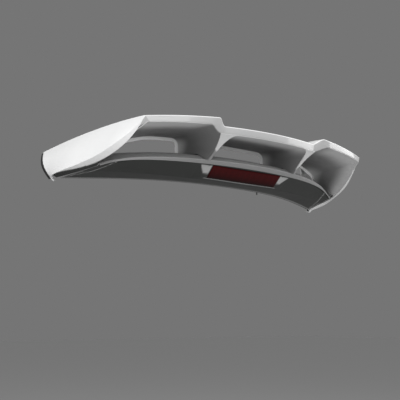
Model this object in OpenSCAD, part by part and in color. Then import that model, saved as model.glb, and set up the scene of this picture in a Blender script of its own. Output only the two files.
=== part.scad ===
// Roof spoiler for a family car: a raised wing on two pillars over three air ducts,
// a base moulding with a stop lamp, rubber seals and a stud mount for the tailgate top.
// X runs across the car, Y forward and Z up, all in millimetres.
// The heights and lengths below are measured from the body reference point at car centre.

/* [Wing] */
// Half width of the wing at its outer rear corner
corner_x = 495; // [470:1:520]
// Rear edge of the lower middle section at car centre, forward of the reference point
mid_edge_y = -142; // [-155:1:-135]
// How far the middle rear edge swings forward by the foot of the step
mid_edge_bow = 23; // [12:1:34]
// Height of the middle rear edge
mid_edge_z = 187; // [182:1:194]
// Rear edge of the raised outer sections, carried through to car centre
outer_edge_y = -146; // [-156:1:-138]
// How far the outer rear edge swings forward by the corner
outer_edge_bow = 65; // [50:1:80]
// Height of the raised outer sections, carried through to car centre
outer_edge_z = 219; // [212:1:224]
// Fall of the outer rear edge by the corner
outer_edge_drop = 35; // [28:1:40]
// Where the step between the middle and outer sections begins
step_start_x = 202; // [195:1:210]
// Where the step ends
step_end_x = 243; // [236:1:255]
// Height of the rear frame band under the edge
band_height = 23; // [19:1:26]
// Forward set of the lower edge of the frame band
band_set = 5; // [3:1:8]
// height of the band at the wing corners
corner_band = 19; // [17:1:21]
// Where the step in the lower edge of the band begins
band_step_in = 214; // [210:1:220]
// Where the step in the lower edge of the band ends
band_step_out = 278; // [270:1:286]
// Front edge of the wing over the ducts
nose_y = 165; // [155:1:180]
// Height of the wing's front edge at car centre
nose_z = 224; // [218:1:232]
// Fall of the wing's front edge towards the corner
nose_drop = 26; // [15:1:32]
// Crown of the top face along the car
crown = 6; // [3:1:10]
// Wall of the painted wing moulding
wing_wall = 3; // [2.5:0.1:3.4]

/* [Side fins] */
// Half width at the upper front end of a fin
fin_front_x = 620; // [610:1:630]
// Forward place of the upper front end
fin_front_y = 405; // [395:1:415]
// Height of the upper front end
fin_front_z = 142; // [136:1:150]
// Half width at the lower tip of a fin
fin_tip_x = 621; // [616:1:630]
// Forward place of the lower tip
fin_tip_y = 322; // [312:1:330]
// Height of the lower tip
fin_tip_z = 30; // [26:1:36]
// Extra crown of the upper crease of a fin
crease_crown = 16; // [10:1:20]
// Outward crown of the fin's side face
fin_crown = 16; // [8:1:20]
// Width of the painted frame round the inside of a fin's rear edge
fin_frame = 11; // [8:1:13]

/* [Pillars and ducts] */
// Set of a pillar's rear foot behind the lip of the base
foot_set = 4; // [0:1:8]
// Inner face of a pillar at the rear foot
foot_in_x = 193; // [191:1:195]
// Outer face of a pillar at the rear foot
foot_out_x = 204; // [203:1:206]
// Inner face of a pillar under the rear band
pillar_top_in_x = 177; // [174:1:180]
// Outer face of a pillar under the rear band
pillar_top_out_x = 219; // [216:1:222]
// Inner face of a pillar at the duct inlet
inlet_in_x = 179; // [176:1:182]
// Outer face of a pillar at the duct inlet
inlet_out_x = 223; // [220:1:226]
// Forward place of the duct inlets
inlet_y = 135; // [130:1:138]
// Height of the duct roof at the inlet, at car centre
inlet_z = 202; // [198:1:204]
// Depth of the frame round each duct inlet
inlet_frame = 15; // [10:1:20]
// Wall of the duct mouldings
duct_wall = 2.5; // [2:0.1:3]
// Width of the carrier beam inside a pillar
core_width = 16; // [14:1:16]
// Diameter of the pillar screws
pillar_screw_d = 6; // [5:0.5:8]

/* [Base moulding] */
// Half width of the rear lip
lip_x = 540; // [532:1:543]
// Rear lip at car centre, forward of the reference point
lip_y = -35; // [-40:1:-28]
// Height of the rear lip
lip_z = 93; // [91:1:96]
// How far the lip swings forward at its ends
lip_bow = 168; // [160:1:172]
// Fall of the lip at its ends
lip_fall = 30; // [24:1:34]
// Depth of the band under the lip
lip_band = 30; // [24:1:34]
// Drop of the band under the lip
lip_band_drop = 8; // [6:1:10]
// Forward set of the crest above the lip
crest_set = 45; // [40:1:50]
// Rise of the crest above the lip
crest_rise = 27; // [22:1:29]
// Front edge of the base moulding
base_front_y = 405; // [398:1:415]
// Height of the front edge at car centre
base_front_z = 200; // [194:1:206]
// Fall of the front edge at its ends
base_front_fall = 62; // [50:1:70]
// Glass-side rim at car centre
rim_y = 150; // [145:1:156]
// How far the rim swings forward at its ends
rim_bow = 168; // [160:1:172]
// Height of the rim at car centre
rim_z = 45; // [43:1:48]
// Fall of the rim at its ends
rim_fall = 15; // [10:1:18]
// Belly line of the lower face at car centre
belly_y = 62; // [60:1:66]
// Height of the belly line at car centre
belly_z = 40; // [38:1:42]
// Wall of the base mouldings
base_wall = 3; // [2.5:0.1:3.2]

/* [Stop lamp] */
// Half width of the lamp lens
lens_x = 157; // [150:1:160]
// Half width of the lamp pocket with its bevelled cheeks
cheek_x = 206; // [198:1:214]
// Upper edge of the lens, forward of the reference point
lens_top_y = 10; // [9:0.5:12]
// Height of the upper edge of the lens
lens_top_z = 82; // [81:0.5:83]
// Length of the lens down its slope
lens_length = 56; // [53:1:57]
// Slope of the lens below level
lens_slope = 43; // [42:0.5:45]
// Thickness of the lens
lens_wall = 3; // [2.5:0.1:3.5]
// Depth of the lamp housing behind the lens
housing_depth = 22; // [20:1:24]
// Number of light emitters
led_count = 12; // [8:1:16]

/* [Mount] */
// Spacing of the studs across the car
stud_span_x = 640; // [620:1:660]
// Spacing of the studs along the car
stud_span_y = 40; // [40:1:44]
// Middle of the stud pattern, forward of the reference point
stud_y = 320; // [316:1:324]
// Height of the flat seat of the stud towers
seat_z = 100; // [96:1:102]
// Thread diameter of the studs
stud_d = 6; // [5:1:8]
// Length of the studs below the seat
stud_length = 24; // [18:1:30]
// Diameter of a stud tower
tower_d = 32; // [30:1:34]
// Distance of a locating pin from car centre
pin_x = 440; // [430:1:450]
// Diameter of a locating pin
pin_d = 8; // [6:0.5:10]

/* [Hidden] */
// free gap between mouldings that lie along each other
gap = 0.5;
// small lengths for edges, returns and seats
seal_wall = 3;
seal_reach = 12;
// rows along the car on the top face of the wing
wing_rows = 8;
// steps across the parts of the wing
mid_steps = 4;
step_steps = 4;
outer_steps = 8;
fin_steps = 5;
// share of the rear edge curve taken up by the corner of the fin
corner_share = 0.06;
// handles of the curve down the rear edge of a fin
fin_upper_handle = [30, 127, -183];
fin_lower_handle = [27, 15, 38];
smooth_round = 48;

// vector and blending helpers
function unit(v) = v / norm(v);
function mix(a, b, t) = a * (1 - t) + b * t;
function clamp01(t) = max(0, min(1, t));
function ease(t) = let(c = clamp01(t)) c * c * (3 - 2 * c);
function arch(t) = 4 * t * (1 - t);
function mirror_x(p) = [-p[0], p[1], p[2]];
function total(list, i = 0) = i == len(list) - 1 ? list[i] : list[i] + total(list, i + 1);

// unit normal of one grid cell and the mitred normal at a grid point
function cell_normal(g, i, j) =
    unit(cross(g[i + 1][j + 1] - g[i][j], g[i][j + 1] - g[i + 1][j]));
function point_normal(g, i, j) =
    let(
        around = [for (a = [i - 1, i]) for (b = [j - 1, j])
            if (a >= 0 && a < len(g) - 1 && b >= 0 && b < len(g[0]) - 1) cell_normal(g, a, b)],
        mid = unit(total(around)),
        spread = total([for (n = around) n * mid]) / len(around)
    )
    mid / max(spread, 0.6);
function inner_grid(g, wall) =
    [for (i = [0 : len(g) - 1]) [for (j = [0 : len(g[0]) - 1])
        g[i][j] - wall * point_normal(g, i, j)]];

// closed wall between a grid of points and the same grid set back by the wall
module wall_solid(g, wall) {
    rows = len(g[0]);
    cols = len(g);
    inner = inner_grid(g, wall);
    points = concat([for (line = g) each line], [for (line = inner) each line]);
    half = rows * cols;
    face_side = wall > 0 ? 1 : -1;
    function at(i, j) = i * rows + j;
    function turn(f) = face_side > 0 ? f : [f[2], f[1], f[0]];
    outer_faces = [for (i = [0 : cols - 2]) for (j = [0 : rows - 2])
        for (f = [[at(i, j), at(i, j + 1), at(i + 1, j + 1)],
                  [at(i, j), at(i + 1, j + 1), at(i + 1, j)]]) f];
    inner_faces = [for (f = outer_faces) [half + f[2], half + f[1], half + f[0]]];
    loop = concat(
        [for (j = [0 : rows - 2]) at(0, j)],
        [for (i = [0 : cols - 2]) at(i, rows - 1)],
        [for (j = [rows - 1 : -1 : 1]) at(cols - 1, j)],
        [for (i = [cols - 1 : -1 : 1]) at(i, 0)]);
    edge_faces = [for (k = [0 : len(loop) - 1])
        let(a = loop[k], b = loop[(k + 1) % len(loop)])
        for (f = [[b, a, half + a], [b, half + a, half + b]]) f];
    polyhedron(points = points,
        faces = [for (f = concat(outer_faces, inner_faces, edge_faces)) turn(f)],
        convexity = 12);
}

// everything is drawn about the body reference point and set about the stud mount
module place() {
    translate([0, -stud_y, -seat_z]) children();
}

// rear edge of the wing at a distance x from car centre
function mid_edge(x) = [x, mid_edge_y + mid_edge_bow * pow(x / step_start_x, 2), mid_edge_z];
function outer_edge(x) = [x, outer_edge_y + outer_edge_bow * pow(abs(x) / corner_x, 3),
    outer_edge_z - outer_edge_drop * pow(abs(x) / corner_x, 1.5)];
function wing_edge(x) =
    mix(mid_edge(x), outer_edge(x), ease((abs(x) - step_start_x) / (step_end_x - step_start_x)));

// lower edge of the rear frame band, which steps further out and narrows towards the corners
function corner_part(x) = ease((abs(x) - step_start_x) / (corner_x - step_start_x));
function band_edge(x) =
    mix(mid_edge(x), outer_edge(x), ease((abs(x) - band_step_in) / (band_step_out - band_step_in)))
    + mix([0, band_set, -band_height], [-fin_frame * sign(x), -band_set, -corner_band],
        corner_part(x));

// front edge of the wing, which runs out to the front of the fin near the corner
function corner_ease(x) = ease((x / corner_x - 0.72) / 0.28);
function nose_edge(x) = mix(
    [x * 1.05, nose_y, nose_z - nose_drop * pow(x / corner_x, 2)],
    [fin_front_x, fin_front_y, fin_front_z], corner_ease(x));
function top_line(x, v) =
    mix(wing_edge(x), nose_edge(x), v)
    + [-8 * corner_ease(x) * arch(v), 0, mix(crown, crease_crown, corner_ease(x)) * arch(v)];

// rear edge of a fin, from the wing corner down to the tip
function fin_corner() = wing_edge(corner_x);
function fin_tip() = [fin_tip_x, fin_tip_y, fin_tip_z];
function fin_edge(t) = let(a = fin_corner(), d = fin_tip())
    a * pow(1 - t, 3) + (a + fin_upper_handle) * 3 * t * pow(1 - t, 2)
    + (d + fin_lower_handle) * 3 * t * t * (1 - t) + d * pow(t, 3);
function fin_tail(q) = fin_edge(mix(corner_share, 1, q));
function fin_side(s, q) = mix(top_line(corner_x, q), fin_tail(q), s)
    + [fin_crown * sin(180 * s) * pow(q, 1.5), 0, 0];
function fin_inner(q) = fin_tail(q) + mix([-fin_frame, 3, 1], [-3, 2, 0.8 * fin_frame], ease(1.4 * q - 0.4));

// lines of the right half of the wing moulding, from band to nose
function nose_roll(p) = [p + [0, 11, -9], p + [0, -8, -17]];
function front_lap(p, s) = [p + [-3, 3, -3], p + [-9, 1, -5]];
function wing_line(x) = concat([band_edge(x)],
    [for (k = [0 : wing_rows]) top_line(x, k / wing_rows)],
    [for (k = [0, 1]) mix(nose_roll(top_line(x, 1))[k], front_lap(top_line(x, 1), 0)[k],
        corner_ease(x))]);
function fin_line(s) = concat(
    [fin_side(s, 0) + mix([-fin_frame, -band_set, -corner_band], [-fin_frame, 4, -2], s)],
    [for (k = [0 : wing_rows]) fin_side(s, k / wing_rows)],
    front_lap(fin_side(s, 1), s));
function fin_frame_line() = concat(
    [fin_inner(0) + [-4, 4, 2]],
    [for (k = [0 : wing_rows]) fin_inner(k / wing_rows)],
    [for (p = front_lap(fin_side(1, 1), 1)) p + [-4, 0, 2]]);
half_lines = concat(
    [for (k = [0 : mid_steps]) wing_line(step_start_x * k / mid_steps)],
    [for (k = [1 : step_steps]) wing_line(mix(step_start_x, step_end_x, k / step_steps))],
    [for (k = [1 : outer_steps]) wing_line(mix(step_end_x, corner_x, k / outer_steps))],
    [for (k = [1 : fin_steps]) fin_line(k / fin_steps)],
    [fin_frame_line()]);
function both_sides(lines) = concat(
    [for (k = [len(lines) - 1 : -1 : 1]) [for (p = lines[k]) mirror_x(p)]], lines);

module wing_skin() {
    color("white") place()
        wall_solid(both_sides(half_lines), wing_wall);
}

// rear outlines of the ducts: up a pillar, along the wing and down a fin or pillar
behind = [0, wing_wall + 4 * gap, 1.2];
// the inner edge of a pillar is hollow from foot to band and the outer edge is straight
hollow = [0, 14, -6];
function pillar_rise(a, b, t) = mix(a, b, t) + [(b[0] - a[0]) * (t * t - t), 0, 0];

// foot of a pillar, which follows the rear slope and the top of the base moulding
foot_lift = 1.4;
function foot_rear_y(x) = lip_top(x)[1] - foot_set;
function foot_share(y, x) = (y - foot_rear_y(x)) / (inlet_y - foot_rear_y(x));
function slope_height(x, y) = let(a = lip_top(x), b = crest(x))
    mix(a[2], b[2], (y - a[1]) / (b[1] - a[1]));
function foot_height(x, y) = (y < crest(x)[1] ? slope_height(x, y) : base_top(x, y)) + foot_lift;
function foot_point(x, s) = let(y = mix(foot_rear_y(x), inlet_y, s)) [x, y, foot_height(x, y)];
function pillar_in(t) = pillar_rise(foot_point(foot_in_x, 0),
    band_edge(pillar_top_in_x), t) + hollow * arch(t);
function pillar_out(t) = pillar_rise(foot_point(foot_out_x, 0),
    band_edge(pillar_top_out_x), t);
rise_steps = 4;
turn_steps = 3;
roof_half = 4;
roof_steps = 10;
function turn(a, c, b, t) = a * pow(1 - t, 2) + c * 2 * t * (1 - t) + b * t * t;
function both_halves(half) = concat([for (p = half) mirror_x(p)],
    [for (k = [len(half) - 2 : -1 : 0]) half[k]]);
side_steps = 5;
side_share = 0.4;
corner_inset = [-4, 2, -1];
duct_rows = 5;
// share of a pillar's rise, and run along the wing, taken by the rounded corner of the centre duct
round_up = 0.66;
round_run = 26;
roof_in_x = pillar_top_in_x - round_run;
centre_rear = both_halves(concat(
    [for (k = [0 : rise_steps]) pillar_in(round_up * k / rise_steps)],
    [for (k = [1 : turn_steps])
        turn(pillar_in(round_up), pillar_in(1), band_edge(roof_in_x), k / turn_steps)],
    [for (k = [1 : roof_half]) band_edge(roof_in_x * (1 - k / roof_half))]));
// the roof of an outer duct first climbs the step and then runs out to the corner
step_part = 0.45;
function roof_x(t) = t < step_part ? mix(pillar_top_out_x, band_step_out, t / step_part)
    : mix(band_step_out, corner_x, (t - step_part) / (1 - step_part));
outer_rear = concat(
    [for (k = [0 : rise_steps]) pillar_out(k / rise_steps)],
    [for (k = [1 : turn_steps + roof_steps - 1]) band_edge(roof_x(k / (turn_steps + roof_steps)))],
    [band_edge(corner_x) + corner_inset],
    [for (k = [1 : side_steps]) fin_inner(side_share * k / side_steps)
        + corner_inset * (1 - k / side_steps)]);

// inlet outlines of the ducts
function inlet_roof(x) = [x, inlet_y, inlet_z - 22 * pow(abs(x) / 410, 3)];
inlet_round = 18;
function inlet_foot(x) = [x, inlet_y, foot_height(x, inlet_y)];
function inlet_shoulder(x) = inlet_roof(x) - [0, 0, inlet_round];
function inlet_turn(x, side, t) =
    turn(inlet_shoulder(x), inlet_roof(x), inlet_roof(x + side * inlet_round), t);
centre_front = both_halves(concat(
    [for (k = [0 : rise_steps])
        mix(inlet_foot(inlet_in_x), inlet_shoulder(inlet_in_x), k / rise_steps)],
    [for (k = [1 : turn_steps]) inlet_turn(inlet_in_x, -1, k / turn_steps)],
    [for (k = [1 : roof_half]) inlet_roof((inlet_in_x - inlet_round) * (1 - k / roof_half))]));
duct_side_top = [486, 165, 158];
duct_side_foot = [548, 240, 118];
outer_front = concat(
    [for (k = [0 : rise_steps])
        mix(inlet_foot(inlet_out_x), inlet_shoulder(inlet_out_x), k / rise_steps)],
    [for (k = [1 : turn_steps]) inlet_turn(inlet_out_x, 1, k / turn_steps)],
    [for (k = [1 : roof_steps])
        let(t = k / roof_steps, x = mix(inlet_out_x + inlet_round, duct_side_top[0], pow(t, 1.15)))
        mix(inlet_roof(x), [x, duct_side_top[1], duct_side_top[2]], ease((t - 0.55) / 0.45))],
    [for (k = [1 : side_steps]) mix(duct_side_top, duct_side_foot, k / side_steps)]);

// one line of a duct from its outlet to its inlet, ending in the inlet frame
function frame_turn(front, k) =
    let(a = front[max(k - 1, 0)], b = front[min(k + 1, len(front) - 1)], d = b - a)
    unit([d[2], 0, -d[0]]);
foot_crest_share = (crest(foot_in_x)[1] - foot_rear_y(foot_in_x) - behind[1])
    / (inlet_y - foot_rear_y(foot_in_x) - behind[1]);
function duct_share(j) = j == 0 ? 0 : mix(foot_crest_share, 1, (j - 1) / (duct_rows - 1));
function foot_rise(p, s, rear, front) = let(q = mix(rear[0] + behind, front[0], s))
    foot_height(q[0], q[1]) - q[2];
function near_foot(k, last, both) = let(n = both ? min(k, last - k) : k)
    pow(max(0, 1 - n / rise_steps), 2);
function duct_lines(rear, front, both) = let(last = len(rear) - 1) [for (k = [0 : last]) concat(
    [for (j = [0 : duct_rows]) let(s = duct_share(j), p = mix(rear[k] + behind, front[k], s))
        p + [0, 0, foot_rise(p, s, rear, front) * near_foot(k, last, both)]],
    [front[k] + inlet_frame * frame_turn(front, k)])];

module duct(rear, front, both) {
    place() wall_solid(duct_lines(rear, front, both), duct_wall);
}
module duct_left() {
    color("grey") mirror([1, 0, 0]) duct(outer_rear, outer_front, false);
}
module duct_centre() {
    color("grey") duct(centre_rear, centre_front, true);
}
module duct_right() {
    color("grey") duct(outer_rear, outer_front, false);
}

// painted closing face at the rear of a pillar, spreading out under the wing band
cap_cols = 6;
cap_rows = 6;
function cap_top(c) = band_edge(mix(pillar_top_in_x, pillar_top_out_x, c)) + [0, 0, -gap];
function cap_point(c, t) =
    mix(mix(pillar_in(t), pillar_out(t), c),
        mix(foot_point(mix(foot_in_x, foot_out_x, c), 0), cap_top(c), t)
        + hollow * (1 - c) * arch(t), t);
module pillar_cap() {
    place() wall_solid([for (i = [0 : cap_cols]) [for (j = [0 : cap_rows])
        cap_point(i / cap_cols, j / cap_rows)]], -duct_wall);
}
module pillar_cap_left() {
    color("white") mirror([1, 0, 0]) pillar_cap();
}
module pillar_cap_right() {
    color("white") pillar_cap();
}

// carrier beam inside a pillar, seated on the base and screwed from below
core_x = (inlet_in_x + inlet_out_x + foot_in_x + foot_out_x) / 4;
core_rear_y = 52;
core_front_y = 120;
module pillar_core_shape() {
    translate([core_x - core_width / 2, 0, 0]) rotate([90, 0, 90])
        linear_extrude(core_width) polygon([
            [core_rear_y, foot_height(core_x + core_width / 2, core_rear_y)],
            [core_front_y, foot_height(core_x, core_front_y)],
            [core_front_y, skin_height(core_x - core_width / 2, core_front_y) - wing_wall - gap],
            [core_rear_y, skin_height(core_x - core_width / 2, core_rear_y) - wing_wall - gap]]);
}
function skin_height(x, y) = let(a = wing_edge(x), b = nose_edge(x))
    top_line(x, (y - a[1]) / (b[1] - a[1]))[2];
screw_places = [66, 104];
screw_bite = 26;
screw_head_d = 12;
screw_head_h = 4;
module screw_bores(d) {
    for (y = screw_places)
        translate([core_x, y, base_top(core_x, y) - base_wall - 2 * gap])
            cylinder(d = d, h = screw_bite + base_wall + 3 * gap, $fn = smooth_round);
}
module pillar_core() {
    place() difference() {
        pillar_core_shape();
        screw_bores(pillar_screw_d + gap);
    }
}
module pillar_core_left() {
    color("dimgrey") mirror([1, 0, 0]) pillar_core();
}
module pillar_core_right() {
    color("dimgrey") pillar_core();
}
module pillar_screws() {
    color("silver") place() for (side = [0, 1]) mirror([side, 0, 0]) for (y = screw_places)
        translate([core_x, y, base_top(core_x, y) - base_wall - 5 * gap - screw_head_h]) {
            cylinder(d = screw_head_d, h = screw_head_h, $fn = smooth_round);
            cylinder(d = pillar_screw_d, h = screw_head_h + screw_bite, $fn = smooth_round);
        }
}

// lines of the base moulding at a distance x along the lip
function spread(x, reach) = x + reach * pow(x / lip_x, 3);
function end_share(x) = pow(abs(x) / lip_x, 7);
function lip_top(x) = [x, lip_y + lip_bow * pow(x / lip_x, 2), lip_z - lip_fall * end_share(x)];
function lip_low(x) = lip_top(x)
    + [0, lip_band - 36 * pow(x / lip_x, 2), -lip_band_drop + end_share(x)];
function lip_lap(x) = let(b = lip_low(x) - lip_top(x))
    gap + (base_wall + 12 * gap * end_share(x)) * -b[2] / norm(b);
function crest(x) = lip_top(x)
    + [0, crest_set, crest_rise * (1 - 0.6 * pow(abs(x) / lip_x, 6))];
front_spread = lip_x / 9.3;
rim_spread = 1.1 * front_spread;
function base_front(x) = [spread(x, front_spread), base_front_y,
    base_front_z - base_front_fall * pow(x / lip_x, 2)];
function rim(x) = [spread(x, rim_spread), rim_y + rim_bow * pow(abs(x) / lip_x, 2.3),
    rim_z - rim_fall * pow(x / lip_x, 4)];
function belly_share() = (belly_y - lip_y - lip_band) / (rim_y - lip_y - lip_band);
function belly(x) = mix(lip_low(x), rim(x), belly_share())
    + [0, 0, belly_z - mix(lip_z - lip_band_drop, rim_z, belly_share())]
    * (1 - 0.7 * pow(abs(x) / lip_x, 2));
function base_top(x, y) = let(a = crest(x), b = base_front(x))
    mix(a[2], b[2], (y - a[1]) / (b[1] - a[1]));

shell_rows = 4;
half_xs = concat([for (k = [0 : 3]) lens_x * k / 3], [cheek_x],
    [for (k = [1 : 9]) mix(cheek_x, lip_x, k / 9)]);
station_xs = concat([for (k = [len(half_xs) - 1 : -1 : 1]) -half_xs[k]], half_xs);
front_return = 12;
function shell_line(x) = concat(
    [lip_low(x), lip_top(x)],
    [for (k = [0 : shell_rows]) mix(crest(x), base_front(x), k / shell_rows)],
    [base_front(x) + [0, 0, -front_return]]);
module base_shell() {
    color("grey") place() difference() {
        wall_solid([for (x = station_xs) shell_line(x)], base_wall);
        for (side = [0, 1]) mirror([side, 0, 0]) screw_bores(pillar_screw_d + 2 * gap);
    }
}

// lower face of the base, with the bevelled lamp pocket, the rim and the mounting pan
lens_dir = [0, cos(lens_slope), -sin(lens_slope)];
lens_out = [0, -sin(lens_slope), -cos(lens_slope)];
function floor_point(x, along) = [x, lens_top_y, lens_top_z] + lens_dir * along
    - lens_out * (lens_wall + gap);
function lower_point(x, share) = mix(lip_low(x), belly(x), share);
function pocket(x, share, along) = abs(x) <= lens_x
    ? floor_point(x, along) : lower_point(x, share);
pan_rows = 3;
rim_return = [0, 9, 16];
return_out = unit([0, rim_return[2], -rim_return[1]]);
pan_cut = 2.5 * tower_d;
function pan_front(x) = base_front(x) + [0, -base_wall - gap, -front_return + base_wall];
function under_line(x) = concat(
    [lip_low(x) + [0, lip_lap(x), 0], lower_point(x, 0.05), pocket(x, 0.24, -4),
     pocket(x, 0.88, lens_length + 3), belly(x), rim(x)],
    [for (k = [0 : pan_rows]) mix(rim(x) + rim_return, pan_front(x), k / pan_rows)]);
module base_underside() {
    color("dimgrey") place() difference() {
        wall_solid([for (x = station_xs) under_line(x)], -base_wall);
        lamp_frame() translate([0, 0, -housing_depth])
            linear_extrude(2 * housing_depth)
                square([2 * (lens_x - 6), lens_length - 10], center = true);
        stud_places() translate([0, 0, -pan_cut / 4])
            cylinder(d = tower_d + 2 * gap, h = pan_cut, $fn = smooth_round);
        pin_places() translate([0, 0, -pan_cut / 4])
            cylinder(d = pin_boss_d + 2 * gap, h = pan_cut, $fn = smooth_round);
        lamp_screw_places() cylinder(d = lamp_screw_d + gap, h = housing_depth, $fn = smooth_round);
    }
}

// lower closing face between each end of the base and the fin beside it
end_wall = 2;
end_shares = [0.03, 0.25, 0.5, 0.75, 0.97];
function end_line(t) = t < belly_share() ? mix(lip_low(lip_x), belly(lip_x), t / belly_share())
    : mix(belly(lip_x), rim(lip_x), (t - belly_share()) / (1 - belly_share()));
function end_in(t) = end_line(t) + [2.4 * gap, 0, 0];
function end_out(t) = fin_inner(mix(side_share + 0.01, 0.96, t)) + [-wing_wall - 2 * gap, 2 * gap, 2];
module end_cap() {
    place() wall_solid([for (t = end_shares) [end_in(t), end_out(t)]], -end_wall);
}
module end_cap_left() {
    color("dimgrey") mirror([1, 0, 0]) end_cap();
}
module end_cap_right() {
    color("dimgrey") end_cap();
}

// rubber seals against the body, the roof and the glass
module side_seal() {
    place() wall_solid([for (k = [0 : fin_steps]) let(p = fin_side(k / fin_steps, 1))
        [p + [-1, 3 * gap + seal_wall, -2], p + [-1, 3 * gap + seal_wall + seal_reach, -3]]], seal_wall);
}
module side_seal_left() {
    color("black") mirror([1, 0, 0]) side_seal();
}
module side_seal_right() {
    color("black") side_seal();
}
module front_seal() {
    color("black") place() wall_solid([for (x = station_xs) let(p = base_front(x))
        [p + [0, 1.5 * gap, -1], p + [0, 1.5 * gap + seal_reach, -3]]], seal_wall);
}
module glass_seal() {
    color("black") place() wall_solid([for (x = station_xs)
        [rim(x) + rim_return * 0.1 + return_out * gap,
         rim(x) + rim_return * 0.8 + return_out * gap]], seal_wall);
}

// stud towers, studs, sealing rings and locating pins, all about the flat seat
module stud_places() {
    for (a = [-1, 1]) for (b = [-1, 1])
        translate([a * stud_span_x / 2, stud_y + b * stud_span_y / 2, seat_z]) children();
}
module pin_places() {
    for (a = [-1, 1]) translate([a * pin_x, stud_y, seat_z]) children();
}
tower_h = 48;
tower_floor = 4;
tower_wall = 3;
plate_h = 2.5;
ring_d = 24;
ring_hole = 13;
ring_h = 2;
shoulder_d = stud_d + 2;
module stud_towers() {
    color("dimgrey") place() stud_places() difference() {
        cylinder(d = tower_d, h = tower_h, $fn = smooth_round);
        translate([0, 0, tower_floor])
            cylinder(d = tower_d - 2 * tower_wall, h = tower_h, $fn = smooth_round);
        translate([0, 0, -1]) cylinder(d = shoulder_d + gap, h = tower_floor + 2, $fn = smooth_round);
        translate([0, 0, -1]) difference() {
            cylinder(d = ring_d + gap, h = ring_h + 1, $fn = smooth_round);
            cylinder(d = ring_hole - gap, h = ring_h + 1, $fn = smooth_round);
        }
    }
}
module studs() {
    color("silver") place() stud_places() {
        translate([0, 0, tower_floor])
            cylinder(d = tower_d - 2 * tower_wall - gap, h = plate_h, $fn = smooth_round);
        cylinder(d = shoulder_d, h = tower_floor + plate_h, $fn = smooth_round);
        translate([0, 0, -stud_length])
            cylinder(d = stud_d, h = stud_length + plate_h, $fn = smooth_round);
    }
}
module stud_seals() {
    color("black") place() stud_places() difference() {
        cylinder(d = ring_d, h = ring_h, $fn = smooth_round);
        translate([0, 0, -1]) cylinder(d = ring_hole, h = ring_h + 2, $fn = smooth_round);
    }
}
pin_length = 14;
pin_boss_h = 40;
pin_boss_d = pin_d + 12;
module locating_pins() {
    color("dimgrey") place() pin_places() {
        cylinder(d = pin_boss_d, h = pin_boss_h, $fn = smooth_round);
        translate([0, 0, -pin_length + pin_d / 4])
            cylinder(d = pin_d, h = pin_length, $fn = smooth_round);
        translate([0, 0, -pin_length])
            cylinder(d1 = pin_d / 2, d2 = pin_d, h = pin_d / 4, $fn = smooth_round);
    }
}

// the stop lamp is drawn flat, lens face down, and tipped into its pocket
module lamp_frame() {
    middle = [0, lens_top_y, lens_top_z] + lens_dir * lens_length / 2;
    translate(middle) rotate([-lens_slope, 0, 0]) children();
}
cup_x = lens_x - 8;
cup_y = lens_length / 2 - 7;
cup_wall = 2;
module lamp_lens() {
    color("darkred") place() lamp_frame()
        linear_extrude(lens_wall) square([2 * lens_x, lens_length], center = true);
}
module lamp_gasket() {
    color("black") place() lamp_frame() translate([0, 0, lens_wall]) linear_extrude(gap)
        difference() {
            square([2 * lens_x - 2, lens_length - 2], center = true);
            square([2 * cup_x, 2 * cup_y], center = true);
            for (side = [-1, 1])
                translate([side * (lens_x - 3.5), 0]) circle(d = lamp_screw_d + gap, $fn = smooth_round);
        }
}
module lamp_housing() {
    color("black") place() lamp_frame() translate([0, 0, lens_wall + gap]) difference() {
        linear_extrude(housing_depth) square([2 * cup_x, 2 * cup_y], center = true);
        translate([0, 0, -1]) linear_extrude(housing_depth + 1 - cup_wall)
            square([2 * (cup_x - cup_wall), 2 * (cup_y - cup_wall)], center = true);
    }
}
board_h = 1.6;
module lamp_board() {
    color("green") place() lamp_frame()
        translate([0, 0, lens_wall + gap + housing_depth - cup_wall - board_h])
            linear_extrude(board_h)
                square([2 * (cup_x - cup_wall - gap), 2 * (cup_y - cup_wall - gap)], center = true);
}
led_size = 4;
led_h = 1.4;
led_pitch = 2 * (cup_x - 4 * led_size) / (led_count - 1);
module led_places() {
    for (k = [0 : led_count - 1])
        translate([(k - (led_count - 1) / 2) * led_pitch, 0, 0]) children();
}
module lamp_leds() {
    color("ivory") place() lamp_frame() led_places()
        translate([0, 0, lens_wall + gap + housing_depth - cup_wall - board_h - led_h / 2])
            cube([led_size, led_size, led_h], center = true);
}
reflector_h = 12;
module lamp_reflector() {
    color("silver") place() lamp_frame()
        translate([0, 0, lens_wall + gap + housing_depth - cup_wall - board_h - reflector_h])
            difference() {
                linear_extrude(reflector_h)
                    square([2 * (cup_x - cup_wall - gap), 2 * (cup_y - cup_wall - gap)], center = true);
                led_places() translate([0, 0, -1])
                    cylinder(d1 = led_pitch - 3, d2 = led_size + 3, h = reflector_h + 2,
                        $fn = smooth_round);
            }
}
inlet_size = [22, 12, 14];
module lamp_connector() {
    color("black") place() lamp_frame()
        translate([0, 0, lens_wall + gap + housing_depth + inlet_size[2] / 2]) difference() {
            cube(inlet_size, center = true);
            translate([0, 0, 2]) cube(inlet_size - [3, 3, 0], center = true);
        }
}
lamp_screw_d = 4;
lamp_screw_l = 12;
module lamp_screw_places() {
    lamp_frame() for (side = [-1, 1])
        translate([side * (lens_x - 3.5), 0, lens_wall]) children();
}
module lamp_screws() {
    color("silver") place() lamp_screw_places()
        cylinder(d = lamp_screw_d, h = lamp_screw_l, $fn = smooth_round);
}

wing_skin();
duct_left();
duct_centre();
duct_right();
pillar_cap_left();
pillar_cap_right();
pillar_core_left();
pillar_core_right();
pillar_screws();
base_shell();
base_underside();
end_cap_left();
end_cap_right();
side_seal_left();
side_seal_right();
front_seal();
glass_seal();
stud_towers();
studs();
stud_seals();
locating_pins();
lamp_housing();
lamp_reflector();
lamp_board();
lamp_leds();
lamp_lens();
lamp_gasket();
lamp_connector();
lamp_screws();
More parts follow.
